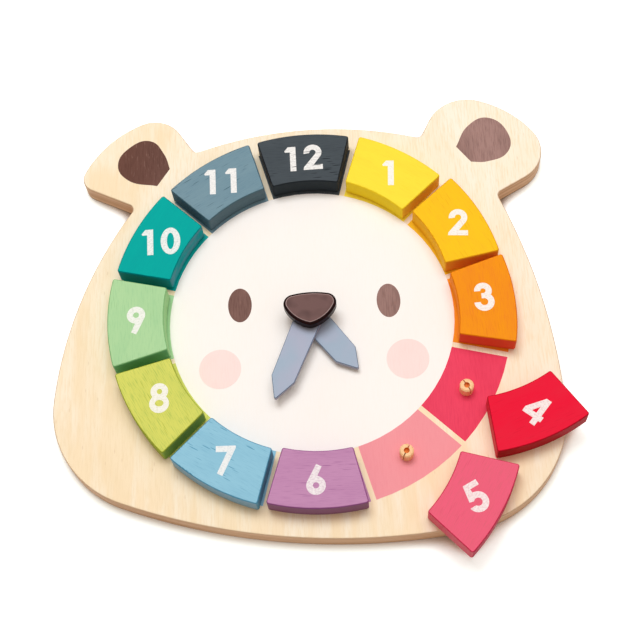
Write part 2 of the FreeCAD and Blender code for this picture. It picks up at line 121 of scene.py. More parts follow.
# Birch plywood, sanded: a pale face with fine upright fibres, its edges browned by the cutter. Here and
# below, a key that ends in Where gives the pattern's values between which a tone comes in, and then the
# share that it reaches, if that isn't 1.
birch = {
    "pale": "#FFF0D7",
    # painted shade: the face darkens towards the chin, where less light falls on the board
    "paintedFrontShade": "#FDE5BF", "paintedFrontShadeWay": (0.35, 1, 0), "paintedFrontShadeWhere": (75 * mm, -150 * mm),       # to the chin
    "warm": "#FAE1B9", "warmWhere": (0.42, 0.6, 0.85),
    # painted light: the face pales to the right
    "paintedRightLight": "#FFF5E3", "paintedRightLightWay": (1, 0.35, 0), "paintedRightLightWhere": (80 * mm, 115 * mm, 0.55),        # to the right
    "bandWhere": (0.45, 0.62, 0.8),
    "streak": "#F5DCB2", "streakWhere": (0.46, 0.7, 0.65),
    "hairline": "#CFA878", "hairlineWhere": (0.1, 0.05, 0.25),
    "rim": "#D2B290", "rimWhere": (0.75, 0.97),
    "edge": "#DFB68F", "edgeDark": "#C5986F", "plyWhere": (0.35, 0.65), "edgeWhere": (0.25, 0.55),
    "fibre": (0.8, 9, 0.8),         # real fibres are 0.2 mm wide; coarser here so that they show
    "hair": (4.5, 17, 17),          # a few open vessels, spaced this far apart
    "cloud": (38, 70, 38), "band": (9, 75, 9),      # growth rings of a peeled face
    "ply": (60, 60, 1.4),           # one veneer
    "bump": 0.1, "roughness": 0.55,
}


def birchTones(tree):
    fibres = addNode(tree, "TexNoise", {"Vector": patternSpace(tree, birch["fibre"]), "Scale": 1.0,
                                        "Detail": 3.0, "Roughness": 0.6})
    clouds = addNode(tree, "TexNoise", {"Vector": patternSpace(tree, birch["cloud"]), "Scale": 1.0,
                                        "Detail": 3.0, "Roughness": 0.55, "Distortion": 0.5})
    return fibres.outputs["Fac"], clouds.outputs["Fac"]


def makeBirch():
    material, tree = startMaterial("birchPlySanded")
    fibres, clouds = birchTones(tree)
    hairs = addNode(tree, "TexVoronoi", {"Vector": patternSpace(tree, birch["hair"]), "Scale": 1.0})
    place = addNode(tree, "TexCoord").outputs["Object"]
    paintedFrontShade = addNode(tree, "VectorMath", {0: place, 1: birch["paintedFrontShadeWay"]}, operation="DOT_PRODUCT")
    paintedRightLight = addNode(tree, "VectorMath", {0: place, 1: birch["paintedRightLightWay"]}, operation="DOT_PRODUCT")
    bands = addNode(tree, "TexNoise", {"Vector": patternSpace(tree, birch["band"]), "Scale": 1.0,
                                       "Detail": 2.0, "Distortion": 0.3})
    layers = addNode(tree, "TexNoise", {"Vector": patternSpace(tree, birch["ply"]), "Scale": 1.0,
                                        "Detail": 2.0})
    # painted shade, darker towards the chin
    tone = layTone(tree, birch["pale"], birch["paintedFrontShade"], paintedFrontShade.outputs["Value"], *birch["paintedFrontShadeWhere"])
    tone = layTone(tree, tone, birch["warm"], clouds, *birch["warmWhere"])
    # painted light, paler to the right
    tone = layTone(tree, tone, birch["paintedRightLight"], paintedRightLight.outputs["Value"], *birch["paintedRightLightWhere"])
    tone = layTone(tree, tone, birch["pale"], bands.outputs["Fac"], *birch["bandWhere"])
    tone = layTone(tree, tone, birch["streak"], fibres, *birch["streakWhere"])
    tone = layTone(tree, tone, birch["hairline"], hairs.outputs["Distance"], *birch["hairlineWhere"])
    tone = layTone(tree, tone, birch["rim"], sideShare(tree, *birch["rimWhere"]), 0, 1)
    cut = layTone(tree, birch["edge"], birch["edgeDark"], layers.outputs["Fac"], *birch["plyWhere"])
    colour = layTone(tree, tone, cut, sideShare(tree, *birch["edgeWhere"]), 0, 1)
    bump = addNode(tree, "Bump", {"Height": fibres, "Strength": birch["bump"], "Distance": reliefDepth})
    endMaterial(tree, {"Base Color": colour, "Roughness": birch["roughness"], "Specular IOR Level": 0.2,
                       "Normal": bump.outputs["Normal"]})
    return material


nodes["board"].material_slots[0].material = makeBirch()
print("board finished")

# Split pegs: turned birch dowel, warmer and closer-grained than the board, glued in and left bare. The
# bore is lined with a shallow cup, darker than the outside, given by its radii and depths in mm.
peg = {
    "pale": "#FFD3A0", "streak": "#F6BC80", "bored": "#E88A42", "boredDark": "#D8722F",
    "fibre": (0.7, 0.7, 12), "fibreWhere": (0.35, 0.7), "bump": 0.1, "roughness": 0.5,
    "circle": 100.3, "cup": [(1.66, -0.1), (1.4, -1.6), (0, -2.4)], "cupSides": 24,
}


def makePegWood(name, pale, streak):
    material, tree = startMaterial(name)
    fibres = addNode(tree, "TexNoise", {"Vector": patternSpace(tree, peg["fibre"]), "Scale": 1.0,
                                        "Detail": 3.0})
    colour = layTone(tree, pale, streak, fibres.outputs["Fac"], *peg["fibreWhere"])
    bump = addNode(tree, "Bump", {"Height": fibres.outputs["Fac"], "Strength": peg["bump"],
                                  "Distance": reliefDepth})
    endMaterial(tree, {"Base Color": colour, "Roughness": peg["roughness"], "Specular IOR Level": 0.2,
                       "Normal": bump.outputs["Normal"]})
    return material


def layCup(hour, material):
    middle = towards(hourStep * hour) * peg["circle"]
    sides = peg["cupSides"]
    points, faces = [], []
    for radius, depth in peg["cup"][:-1]:
        for at in range(sides):
            angle = 2 * math.pi * at / sides
            points.append(((middle.x + radius * math.cos(angle)) * mm,
                           (middle.y + radius * math.sin(angle)) * mm, pegTop + depth * mm))
    points.append((middle.x * mm, middle.y * mm, pegTop + peg["cup"][-1][1] * mm))
    for at in range(sides):
        following = (at + 1) % sides
        faces.append((at, following, sides + following, sides + at))
        faces.append((sides + at, sides + following, len(points) - 1))
    made = addMesh("peg_cup_%02d" % hour, points, faces, material)
    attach(made, "board")


pegWood = makePegWood("birchDowelTurned", peg["pale"], peg["streak"])
boredWood = makePegWood("birchDowelBored", peg["bored"], peg["boredDark"])
for hour in range(1, 13):
    nodes["peg_%02d" % hour].material_slots[0].material = pegWood
    layCup(hour, boredWood)
print("pegs finished")

# Hour blocks: beech dyed through the grain and sealed satin, with dark open pores along the grain. The
# upright sides are darker than the top, painted shade; the inner curve that faces the dial is paler than
# the other sides, painted light; the outer side has its own tone, painted light on some blocks and
# painted shade on others; and a darker line round the rounded rim is painted shade. On the 10 the inner
# curve is patched with a paler slate tone. The turn is how far a block is turned on its peg, or lies
# turned, in degrees clockwise.
hourBlocks = {
    1: {"top": "#FDE541", "side": "#F2C238", "inner": "#FFE02C", "outer": "#F2C230", "rim": "#F5CF20",
        "pores": 0.3, "grain": 0.15, "bleed": 0.13, "turn": 3.1},
    2: {"top": "#FCC81E", "side": "#F0A42C", "inner": "#FFC028", "outer": "#F0A428", "rim": "#E89A12",
        "pores": 0.35, "grain": 0.22, "bleed": 0.14, "turn": 4.4},
    3: {"top": "#F89814", "side": "#E45235", "inner": "#FF9012", "outer": "#EC7A1C", "rim": "#E07008",
        "pores": 0.35, "grain": 0.25, "bleed": 0.16, "turn": -2.9},
    4: {"top": "#EF1738", "side": "#DC3A4A", "inner": "#D82438", "outer": "#A81420", "rim": "#B80C24",
        "pores": 0.15, "grain": 0.12, "bleed": 0.2, "turn": 40.2},
    5: {"top": "#F1637F", "side": "#E06574", "inner": "#E06574", "outer": "#B83850", "rim": "#C8284C",
        "pores": 0.2, "grain": 0.6, "bleed": 0.28, "turn": -27.9},
    6: {"top": "#C68FB6", "side": "#9A5C90", "inner": "#9A5C90", "outer": "#885E7C", "rim": "#8C4C84",
        "pores": 0.5, "grain": 0.25, "bleed": 0.36, "turn": 2.7},
    7: {"top": "#95C9DE", "side": "#5C9CBC", "inner": "#5C9CBC", "outer": "#89AEC6", "rim": "#4C90B0",
        "pores": 0.8, "grain": 0.22, "bleed": 0.23, "turn": 1.2},
    8: {"top": "#DBDC69", "side": "#8BB150", "inner": "#B8C850", "outer": "#9DAE3C", "rim": "#9CA830",
        "pores": 0.4, "grain": 0.5, "bleed": 0.22, "turn": 0.7},
    9: {"top": "#B2DAA2", "side": "#72BA84", "inner": "#A9DE9B", "outer": "#7DB874", "rim": "#80B878",
        "pores": 0.3, "grain": 0.25, "bleed": 0.25, "turn": -1.1},
    10: {"top": "#00AAA1", "side": "#048C94", "inner": "#069BA0", "outer": "#087C76", "rim": "#007C7C",
         "slatePatch": "#4C92A0", "pores": 0.15, "grain": 0.14, "bleed": 0.2, "turn": -1.2},
    11: {"top": "#7A97A3", "side": "#497188", "inner": "#5A727E", "outer": "#4A626E", "rim": "#48646E",
         "pores": 0.9, "grain": 0.25, "bleed": 0.17, "turn": -0.5},
    12: {"top": "#4A5156", "side": "#2C3238", "inner": "#2E363C", "outer": "#2A2E33", "rim": "#1E2226",
         "pores": 1.0, "grain": 0.3, "bleed": 0.16, "turn": -0.5},
}
dye = {
    "pore": (13, 1.05, 1.05),       # open pores, this far apart; drawn wide enough to show
    "poreWhere": (0.26, 0.18), "poreBump": 0.25, "poreDepth": 0.15,
    "gather": (22, 7, 7),           # they gather in the early wood of each ring
    "gatherWhere": (0.46, 0.6), "scattered": 0.08,
    "fibre": (7, 0.5, 0.5), "fibreWhere": (0.5, 0.7),
    "cloud": (30, 7, 7), "cloudWhere": (0.38, 0.7, 0.14), "slatePatchWhere": (0.42, 0.56),
    "rimWhere": (0.85, 0.985), "sawnWhere": (0.3, 0.7),
    "curveWhere": (0.6, 0.8),       # how squarely a side faces the dial's middle
    "sawnApart": (37, 11, 0),       # every block comes from another place in the plank
    "roughness": 0.5,
}


def dyeSpace(tree, hour, size):
    # Along the block's own grain.
    return patternSpace(tree, size, hourStep * hour + hourBlocks[hour]["turn"],
                        [apart * hour for apart in dye["sawnApart"]])


def poreMask(tree, hour, share):
    pores = addNode(tree, "TexVoronoi", {"Vector": dyeSpace(tree, hour, dye["pore"]), "Scale": 1.0})
    gather = addNode(tree, "TexNoise", {"Vector": dyeSpace(tree, hour, dye["gather"]), "Scale": 1.0,
                                        "Detail": 1.0})
    few, many = dye["gatherWhere"]
    depth = addNode(tree, "MapRange", {"Value": gather.outputs["Fac"], "From Min": few, "From Max": many,
                                       "To Min": dye["scattered"] * share, "To Max": share})
    outside, inside = dye["poreWhere"]
    shape = addNode(tree, "MapRange", {"Value": pores.outputs["Distance"], "From Min": outside,
                                       "From Max": inside})
    return addNode(tree, "Math", {0: shape.outputs["Result"], 1: depth.outputs["Result"]},
                   operation="MULTIPLY").outputs["Value"]


def makeDyedBeech(hour):
    block = hourBlocks[hour]
    material, tree = startMaterial("beechDyedSatin_%02d" % hour)
    pores = poreMask(tree, hour, block["pores"])
    fibres = addNode(tree, "TexNoise", {"Vector": dyeSpace(tree, hour, dye["fibre"]), "Scale": 1.0,
                                        "Detail": 2.0, "Roughness": 0.5}).outputs["Fac"]
    clouds = addNode(tree, "TexNoise", {"Vector": dyeSpace(tree, hour, dye["cloud"]), "Scale": 1.0,
                                        "Detail": 2.0}).outputs["Fac"]
    inward = addNode(tree, "VectorMath", {0: addNode(tree, "TexCoord").outputs["Normal"],
                                          1: -towards(hourStep * hour + block["turn"])},
                     operation="DOT_PRODUCT").outputs["Value"]
    top = layTone(tree, block["top"], block["side"], clouds, *dye["cloudWhere"])
    top = layTone(tree, top, block["side"], fibres, *dye["fibreWhere"], block["grain"])
    # painted light: the inner curve is paler; on the 10 a slate patch lies over it
    inner = layTone(tree, block["inner"], block.get("slatePatch", block["inner"]), clouds, *dye["slatePatchWhere"])
    # painted light and shade: each upright side takes the side, inner and outer tones by the way it faces
    sawn = layTone(tree, block["side"], inner, inward, *dye["curveWhere"])
    sawn = layTone(tree, sawn, block["outer"], inward, *(-value for value in dye["curveWhere"]))
    sawn = layTone(tree, sawn, block["rim"], fibres, *dye["fibreWhere"], block["grain"])
    # painted shade: the rim tone lines the rounded rim; the same tone darkens the side grain and the pores
    tone = layTone(tree, top, block["rim"], sideShare(tree, *dye["rimWhere"]), 0, 1)
    # painted shade: the upright sides take the darker side tones
    tone = layTone(tree, tone, sawn, sideShare(tree, *dye["sawnWhere"]), 0, 1)
    colour = layTone(tree, tone, block["rim"], pores, 0, 1)
    bump = addNode(tree, "Bump", {"Height": pores, "Strength": dye["poreBump"],
                                  "Distance": dye["poreDepth"] * mm}, invert=True)
    endMaterial(tree, {"Base Color": colour, "Roughness": dye["roughness"], "Specular IOR Level": 0.03,
                       "Normal": bump.outputs["Normal"]})
    return material


for hour in hourBlocks:
    nodes["block_%02d" % hour].material_slots[0].material = makeDyedBeech(hour)
print("hour blocks finished")

# Hands: plywood sprayed matt blue-grey. A dark line on the rims and a darker lilac-grey on the upright
# sides are painted shade.
handPaint = {
    "colour": "#ABAFC2", "worn": "#A0B0C2", "wornWhere": (0.35, 0.6), "cloud": (20, 20, 20),
    "rim": "#5F738C", "rimWhere": (0.85, 0.985), "edge": "#A09FAE", "edgeWhere": (0.2, 0.6),
    "peel": (1.2, 1.2, 1.2), "bump": 0.05, "roughness": 0.5,
}


def makeHandPaint():
    material, tree = startMaterial("blueGreyPaintSprayed")
    clouds = addNode(tree, "TexNoise", {"Vector": patternSpace(tree, handPaint["cloud"]), "Scale": 1.0,
                                        "Detail": 2.0})
    peel = addNode(tree, "TexNoise", {"Vector": patternSpace(tree, handPaint["peel"]), "Scale": 1.0})
    tone = layTone(tree, handPaint["colour"], handPaint["worn"], clouds.outputs["Fac"],
                   *handPaint["wornWhere"])
    # painted shade: a dark line on the rims, and a darker tone on the upright sides
    tone = layTone(tree, tone, handPaint["rim"], sideShare(tree, *handPaint["rimWhere"]), 0, 1)
    colour = layTone(tree, tone, handPaint["edge"], sideShare(tree, *handPaint["edgeWhere"]), 0, 1)
    bump = addNode(tree, "Bump", {"Height": peel.outputs["Fac"], "Strength": handPaint["bump"],
                                  "Distance": reliefDepth})
    endMaterial(tree, {"Base Color": colour, "Roughness": handPaint["roughness"], "Specular IOR Level": 0.2,
                       "Normal": bump.outputs["Normal"]})
    return material


handMaterial = makeHandPaint()
for name in ("hour_hand", "minute_hand"):
    nodes[name].material_slots[0].material = handMaterial
print("hands finished")

# Nose cap: dipped in near-black gloss lacquer, which hides the grain.
noseLacquer = {"colour": "#180706", "thin": "#260C0A", "run": (5, 5, 5), "runWhere": (0.35, 0.65),
               "bump": 0.05, "roughness": 0.18}


def makeNoseLacquer():
    material, tree = startMaterial("brownBlackLacquerDipped")
    runs = addNode(tree, "TexNoise", {"Vector": patternSpace(tree, noseLacquer["run"]), "Scale": 1.0,
                                      "Detail": 2.0}).outputs["Fac"]
    colour = layTone(tree, noseLacquer["colour"], noseLacquer["thin"], runs, *noseLacquer["runWhere"])
    bump = addNode(tree, "Bump", {"Height": runs, "Strength": noseLacquer["bump"],
                                  "Distance": reliefDepth})
    endMaterial(tree, {"Base Color": colour, "Roughness": noseLacquer["roughness"],
                       "Specular IOR Level": 0.04, "Normal": bump.outputs["Normal"]})
    return material


nodes["nose_cap"].material_slots[0].material = makeNoseLacquer()

# Pivot: turned mild steel post, with the tool's rings round it, and moulded white nylon washers.
pivot = {
    "steel": "#C9CACD", "steelDark": "#AEB0B4", "rings": (30, 30, 0.4), "steelRoughness": 0.32,
    "nylon": "#ECEBE4", "nylonShade": "#DEDCD2", "flow": (3, 3, 3), "nylonRoughness": 0.45,
    "toneWhere": (0.4, 0.6),
}


def makePivotMaterials():
    steel, tree = startMaterial("mildSteelTurned")
    rings = addNode(tree, "TexNoise", {"Vector": patternSpace(tree, pivot["rings"]), "Scale": 1.0})
    colour = layTone(tree, pivot["steel"], pivot["steelDark"], rings.outputs["Fac"], *pivot["toneWhere"])
    endMaterial(tree, {"Base Color": colour, "Metallic": 1.0, "Roughness": pivot["steelRoughness"]})
    nylon, tree = startMaterial("nylonMoulded")
    flow = addNode(tree, "TexNoise", {"Vector": patternSpace(tree, pivot["flow"]), "Scale": 1.0})
    colour = layTone(tree, pivot["nylon"], pivot["nylonShade"], flow.outputs["Fac"], *pivot["toneWhere"])
    endMaterial(tree, {"Base Color": colour, "Roughness": pivot["nylonRoughness"], "IOR": 1.53,
                       "Subsurface Weight": 0.1, "Subsurface Scale": 1 * mm})
    return steel, nylon


steel, nylon = makePivotMaterials()
nodes["pivot_post"].material_slots[0].material = steel
for name in ("base_washer", "hand_washer", "cap_washer"):
    nodes[name].material_slots[0].material = nylon
print("nose and pivot finished")

# Flat inks. An outline is a list of corners (x, y) and arcs (centre x, centre y, radius x, radius y,
# from, to) in mm and degrees. A second layer lies on the first, and all are sunk a little into the wood.
ink = {"thickness": 0.06, "sunk": 0.02, "arcStep": 5, "fibreWhere": (0.45, 0.75), "cloudWhere": (0.42, 0.7),
       "cloudShare": 0.6, "bump": 0.06}


def traceOutline(steps):
    points = []
    for step in steps:
        if len(step) == 2:
            points.append(step)
            continue
        x, y, radiusX, radiusY, start, end = step
        count = max(2, round(abs(end - start) / ink["arcStep"]))
        last = count if abs(end - start) < 360 else count - 1
        for at in range(last + 1):
            angle = math.radians(start + (end - start) * at / count)
            points.append((x + radiusX * math.cos(angle), y + radiusY * math.sin(angle)))
    return points


def startInk(name, material, layer=1):
    curve = bpy.data.curves.new(name, "CURVE")
    curve.dimensions = "2D"
    curve.fill_mode = "BOTH"
    curve.extrude = (ink["thickness"] * layer + ink["sunk"]) * mm / 2
    curve.materials.append(material)
    return curve


def placeInk(curve, height, place=Matrix()):
    made = addObject(curve.name, curve)
    made.matrix_world = Matrix.Translation((0, 0, height + curve.extrude - ink["sunk"] * mm)) @ place
    return made


def layInk(name, outlines, material, body, height, place=Matrix(), layer=1):
    curve = startInk(name, material, layer)
    for outline in outlines:
        points = traceOutline(outline)
        spline = curve.splines.new("POLY")
        spline.points.add(len(points) - 1)
        for target, (x, y) in zip(spline.points, points):
            target.co = (x * mm, y * mm, 0, 1)
        spline.use_cyclic_u = True
    made = placeInk(curve, height, place)
    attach(made, body)


def makePrintInk(name, tones):
    # Screened ink, thin enough for the birch grain under it to show.
    material, tree = startMaterial(name)
    fibres, clouds = birchTones(tree)
    share = tones["share"]
    tone = layTone(tree, tones["colour"], tones["under"], fibres, *ink["fibreWhere"], share)
    tone = layTone(tree, tone, tones["under"], clouds, *ink["cloudWhere"], share * ink["cloudShare"])
    bump = addNode(tree, "Bump", {"Height": fibres, "Strength": ink["bump"], "Distance": reliefDepth})
    endMaterial(tree, {"Base Color": tone, "Roughness": 0.5, "Specular IOR Level": 0.1,
                       "Normal": bump.outputs["Normal"]})
    return material


# Brown ink of the eyes and ears, darker on the left and lighter towards the right. It missed hair-fine
# lines of the grain.
brownInk = {
    "leftTone": "#6E483C", "light": "#A6827A", "leftToRightWhere": (-110 * mm, 70 * mm),
    "deep": "#472820", "cloudWhere": (0.4, 0.65, 0.35), "fibreWhere": (0.45, 0.7, 0.35),
    "missed": "#8F6A5E", "scratch": (0.9, 7, 0.9), "scratchFrom": (9, 4, 0), "missedWhere": (0.6, 0.72, 0.6),
    "bump": 0.1,
}


def makeBrownInk():
    material, tree = startMaterial("brownInkScreened")
    fibres, clouds = birchTones(tree)
    space = patternSpace(tree, brownInk["scratch"], 0, brownInk["scratchFrom"])
    scratches = addNode(tree, "TexNoise", {"Vector": space, "Scale": 1.0, "Detail": 2.0})
    place = addNode(tree, "SeparateXYZ", {"Vector": addNode(tree, "TexCoord").outputs["Object"]})
    tone = layTone(tree, brownInk["leftTone"], brownInk["light"], place.outputs["X"], *brownInk["leftToRightWhere"])
    tone = layTone(tree, tone, brownInk["deep"], clouds, *brownInk["cloudWhere"])
    tone = layTone(tree, tone, brownInk["deep"], fibres, *brownInk["fibreWhere"])
    tone = layTone(tree, tone, brownInk["missed"], scratches.outputs["Fac"], *brownInk["missedWhere"])
    bump = addNode(tree, "Bump", {"Height": fibres, "Strength": brownInk["bump"], "Distance": reliefDepth})
    endMaterial(tree, {"Base Color": tone, "Roughness": 0.5, "Specular IOR Level": 0.08,
                       "Normal": bump.outputs["Normal"]})
    return material


facePrint = {
    "disc": {"radius": 84, "colour": "#FFF9F3", "under": "#FCF1E6", "share": 0.25},
    "ring": {"outer": 116.6, "strip": 3.1},
    "eyes": {"left": (-42.2, 11.3, 7.05, 11.0), "right": (46.0, 8.8, 7.0, 10.85)},
    "cheeks": {"left": (-54.5, -28.8, 12.3, 12.3), "right": (54.9, -29.0, 12.4, 12.4),
               "colour": "#FEE4DE", "under": "#FBDBD4", "share": 0.5},
}


def sectorOutline(hour, inner, outer, strip):
    # A bare strip of one width all along parts it from the next one.
    middle = 90 - hourStep * hour
    outerHalf = hourStep / 2 - math.degrees(math.asin(strip / 2 / outer))
    innerHalf = hourStep / 2 - math.degrees(math.asin(strip / 2 / inner))
    return [(0, 0, outer, outer, middle + outerHalf, middle - outerHalf),
            (0, 0, inner, inner, middle - innerHalf, middle + innerHalf)]


def ellipseOutline(x, y, radiusX, radiusY):
    return [(x, y, radiusX, radiusY, 0, 360)]


disc, cheeks = facePrint["disc"], facePrint["cheeks"]
discInk = makePrintInk("offWhiteInkScreened", disc)
layInk("face_disc", [ellipseOutline(0, 0, disc["radius"], disc["radius"])], discInk, "board",
       boardTop)
brownMaterial = makeBrownInk()
cheekInk = makePrintInk("palePinkInkScreened", cheeks)
for side in ("left", "right"):
    layInk("eye_" + side, [ellipseOutline(*facePrint["eyes"][side])], brownMaterial, "board",
           boardTop, layer=2)
    layInk("cheek_" + side, [ellipseOutline(*cheeks[side])], cheekInk, "board",
           boardTop, layer=2)
sectorInks = {      # where the bare print differs from its block; the others take their block's tones
    4: {"colour": "#EF4261", "under": "#DA2A4C", "share": 0.5},
    5: {"colour": "#F59AA0", "under": "#F08B92", "share": 0.4},
}
for hour in hourBlocks:
    tones = sectorInks.get(hour, {"colour": hourBlocks[hour]["top"], "under": hourBlocks[hour]["side"],
                                  "share": 0.4})
    sectorInk = makePrintInk("hourInkScreened_%02d" % hour, tones)
    outline = sectorOutline(hour, disc["radius"], facePrint["ring"]["outer"], facePrint["ring"]["strip"])
    layInk("sector_%02d" % hour, [outline], sectorInk, "board", boardTop)
print("face inks laid")

# Ear prints: a rounded patch with a straight cut towards the ring, its round drawn as a soft curve
# through a few points.
earPrints = {
    "left": {"cut": [(-92.3, 96.1), (-84.4, 107.8)],
             "round": [(-87.9, 118.4), (-97.1, 128.9), (-109.5, 125.2), (-117.1, 112.8), (-110.8, 101.7)]},
    "right": {"cut": [(94.5, 110.8), (102.8, 99.4)],
              "round": [(112.4, 98.9), (126, 104.9), (127.5, 117.7), (115.4, 130.4), (103.2, 125.4)]},
    "smoothness": 10,
}


def layEar(side):
    ear = earPrints[side]
    curve = startInk("ear_" + side, brownMaterial)
    curve.resolution_u = earPrints["smoothness"]
    points = ear["cut"] + ear["round"]
    spline = curve.splines.new("BEZIER")
    spline.bezier_points.add(len(points) - 1)
    for at, (x, y) in enumerate(points):
        point = spline.bezier_points[at]
        point.co = (x * mm, y * mm, 0)
        point.handle_left_type = point.handle_right_type = "VECTOR" if at < len(ear["cut"]) else "AUTO"
    spline.use_cyclic_u = True
    made = placeInk(curve, boardTop)
    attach(made, "board")


for side in ("left", "right"):
    layEar(side)
print("ear inks laid")

# Numerals, drawn from the middle of their foot, and where they stand on each block.
numerals = {
    "0": [[(0, 8.6, 5.9, 8.95, 0, 360)], [(0, 8.6, 2.15, 5.5, 0, 360)]],
    "1": [[(0, 0), (3.6, 0), (3.6, 17.1), (-1.1, 17.1), (-3.3, 14.3), (-2.9, 13.4), (0, 13.4)]],
    "2": [[(1.35, 12, 5.5, 5.5, 188, -40), (1.75, 3.35), (7.2, 3.35), (7.2, 0), (-4.6, 0), (-4.3, 2),
           (1.35, 12, 1.9, 1.9, -45, 188)]],
    "3": [[(-1.4, 12.5, 5.1, 5.1, 180, -35.2), (-1.5, 5.5, 5.85, 5.85, 44, -180),
           (-1.5, 5.5, 2.2, 2.2, -180, 90), (-2.7, 7.7), (-2.7, 11), (-1.4, 12.5, 1.5, 1.5, -90, 180)]],
    "4": [[(1.6, 17.4), (4.9, 17.4), (4.9, 7), (6.4, 7), (6.4, 3.6), (4.9, 3.6), (4.9, 0), (1.5, 0),
           (1.5, 3.6), (-5.6, 3.6), (-5.6, 6.9)], [(-1.3, 7), (1.5, 11.5), (1.5, 7)]],
    "5": [[(-2.6, 17.15), (5.6, 17.15), (5.6, 13.7), (0, 13.7), (0.05, 5.6, 5.9, 5.9, 90, -169),
           (0.05, 5.6, 2.3, 2.3, -151.4, 145), (-4.35, 7.6)]],
    "6": [[(-0.85, 17.4), (2.2, 15.95), (-0.8, 5.1, 5.4, 5.4, 82.9, -205.8)],
          [(-0.8, 5.15, 1.75, 1.75, 0, 360)]],
    "7": [[(-5, 17.3), (6.2, 17.3), (6.2, 15.9), (-1.2, -0.15), (-4.25, 1.35), (1.3, 13.75), (-5, 13.75)]],
    "8": [[(0.6, 12.7, 5.05, 5.05, -39.9, 219.9), (0.6, 5.35, 5.65, 5.65, 133.3, 406.7)],
          [(0.7, 12.65, 1.5, 1.65, 0, 360)], [(0.65, 5.6, 2.45, 1.95, 0, 360)]],
}
blockNumbers = {
    1: [("1", -0.6, -9.2)], 2: [("2", 0, -8.3)], 3: [("3", 0, -6.9)], 4: [("4", 0, -6.6)],
    5: [("5", 0, -8.8)], 6: [("6", 0, -8.5)], 7: [("7", 0, -8.6)], 8: [("8", 0, -6.75)],
    9: [("6", -0.35, 8.5)], 10: [("1", -7.2, -9), ("0", 6.8, -9.15)],
    11: [("1", -6.7, -7.85), ("1", 6.1, -7.85)], 12: [("1", -8.4, -9.05), ("2", 4.2, -8.75)],
}
# A seated block's middle lies past its peg; a loose one's is given by its bearing and distance.
ringPlace = {"pastPeg": 2.1, "loose": {4: (120.0, 140.8), 5: (144.0, 144.9)}}


def blockPlace(hour):
    turn = hourBlocks[hour]["turn"]
    if hour in ringPlace["loose"]:
        bearing, reach = ringPlace["loose"][hour]
        middle = towards(bearing) * reach
    else:
        middle = towards(hourStep * hour) * peg["circle"]
        middle += towards(hourStep * hour + turn) * ringPlace["pastPeg"]
    return Matrix.Translation(middle * mm) @ Matrix.Rotation(-math.radians(turn), 4, "Z")


# Numeral ink: stamped rather than poured, so the dye shows through it and it misses some open pores.
numberInk = {"colour": "#FBF8F4", "thin": "#DBD7D3", "mottle": (1.3, 0.9, 1.3),
             "stampedApart": (5, 0, 0), "thinWhere": (0.5, 0.75, 0.6), "bleedWhere": (0.2, 0.6), "bare": 0.9}


def makeNumberInk(hour):
    block = hourBlocks[hour]
    material, tree = startMaterial("offWhiteInkStamped_%02d" % hour)
    space = patternSpace(tree, numberInk["mottle"], 0, [apart * hour for apart in numberInk["stampedApart"]])
    mottle = addNode(tree, "TexNoise", {"Vector": space, "Scale": 1.0, "Detail": 2.0}).outputs["Fac"]
    tone = layTone(tree, numberInk["colour"], numberInk["thin"], mottle, *numberInk["thinWhere"])
    tone = layTone(tree, tone, block["top"], mottle, *numberInk["bleedWhere"], block["bleed"])
    colour = layTone(tree, tone, block["rim"], poreMask(tree, hour, block["pores"]), 0, 1, numberInk["bare"])
    endMaterial(tree, {"Base Color": colour, "Roughness": 0.55, "Specular IOR Level": 0.2})
    return material


for hour, figures in blockNumbers.items():
    place = blockPlace(hour)
    numberMaterial = makeNumberInk(hour)
    for at, (figure, x, y) in enumerate(figures):
        upside = Matrix.Rotation(math.pi if hour == 9 else 0, 4, "Z")     # the 9 is the 6 turned over
        spot = place @ Matrix.Translation((x * mm, y * mm, 0)) @ upside
        layInk("number_%02d_%d" % (hour, at + 1), numerals[figure], numberMaterial, "block_%02d" % hour,
               blockTop, spot)
print("numerals laid")

# Nose print: the cap's own outline of tangent arcs, drawn in. The rounds are the three corners (x, y,
# radius), and the links are the radii of the long arcs between them.
nosePrint = {
    "rounds": [(9.6, 3.0, 5.8), (0, -7.6, 3.4), (-9.6, 3.0, 5.8)],
    "links": [21.5, 21.5, 50.5],
    # the line is a painted highlight, a pale ring just inside the cap's rounded rim
    "line": {"inset": 1.45, "colour": "#9C807B", "smudge": "#B59A95"},
    "top": {"inset": 1.85, "colour": "#6E4F4B", "smudge": "#583D39"},
    "spread": (11, 8, 11), "spreadFrom": (3, 1, 0), "smudgeWhere": (0.5, 0.75),
    "peel": (0.9, 0.9, 0.9), "bump": 0.05,
}


def makeNoseInkAndHighlight(name, tones):
    # Smooth over the lacquer, with a soft smudge and a slight orange peel: the brown ink, and the painted
    # highlight round it.
    material, tree = startMaterial(name)
    space = patternSpace(tree, nosePrint["spread"], 0, nosePrint["spreadFrom"])
    spread = addNode(tree, "TexNoise", {"Vector": space, "Scale": 1.0, "Detail": 1.0})
    peel = addNode(tree, "TexNoise", {"Vector": patternSpace(tree, nosePrint["peel"]), "Scale": 1.0})
    tone = layTone(tree, tones["colour"], tones["smudge"], spread.outputs["Fac"], *nosePrint["smudgeWhere"])
    bump = addNode(tree, "Bump", {"Height": peel.outputs["Fac"], "Strength": nosePrint["bump"],
                                  "Distance": reliefDepth})
    endMaterial(tree, {"Base Color": tone, "Roughness": 0.45, "Specular IOR Level": 0.1,
                       "Normal": bump.outputs["Normal"]})
    return material


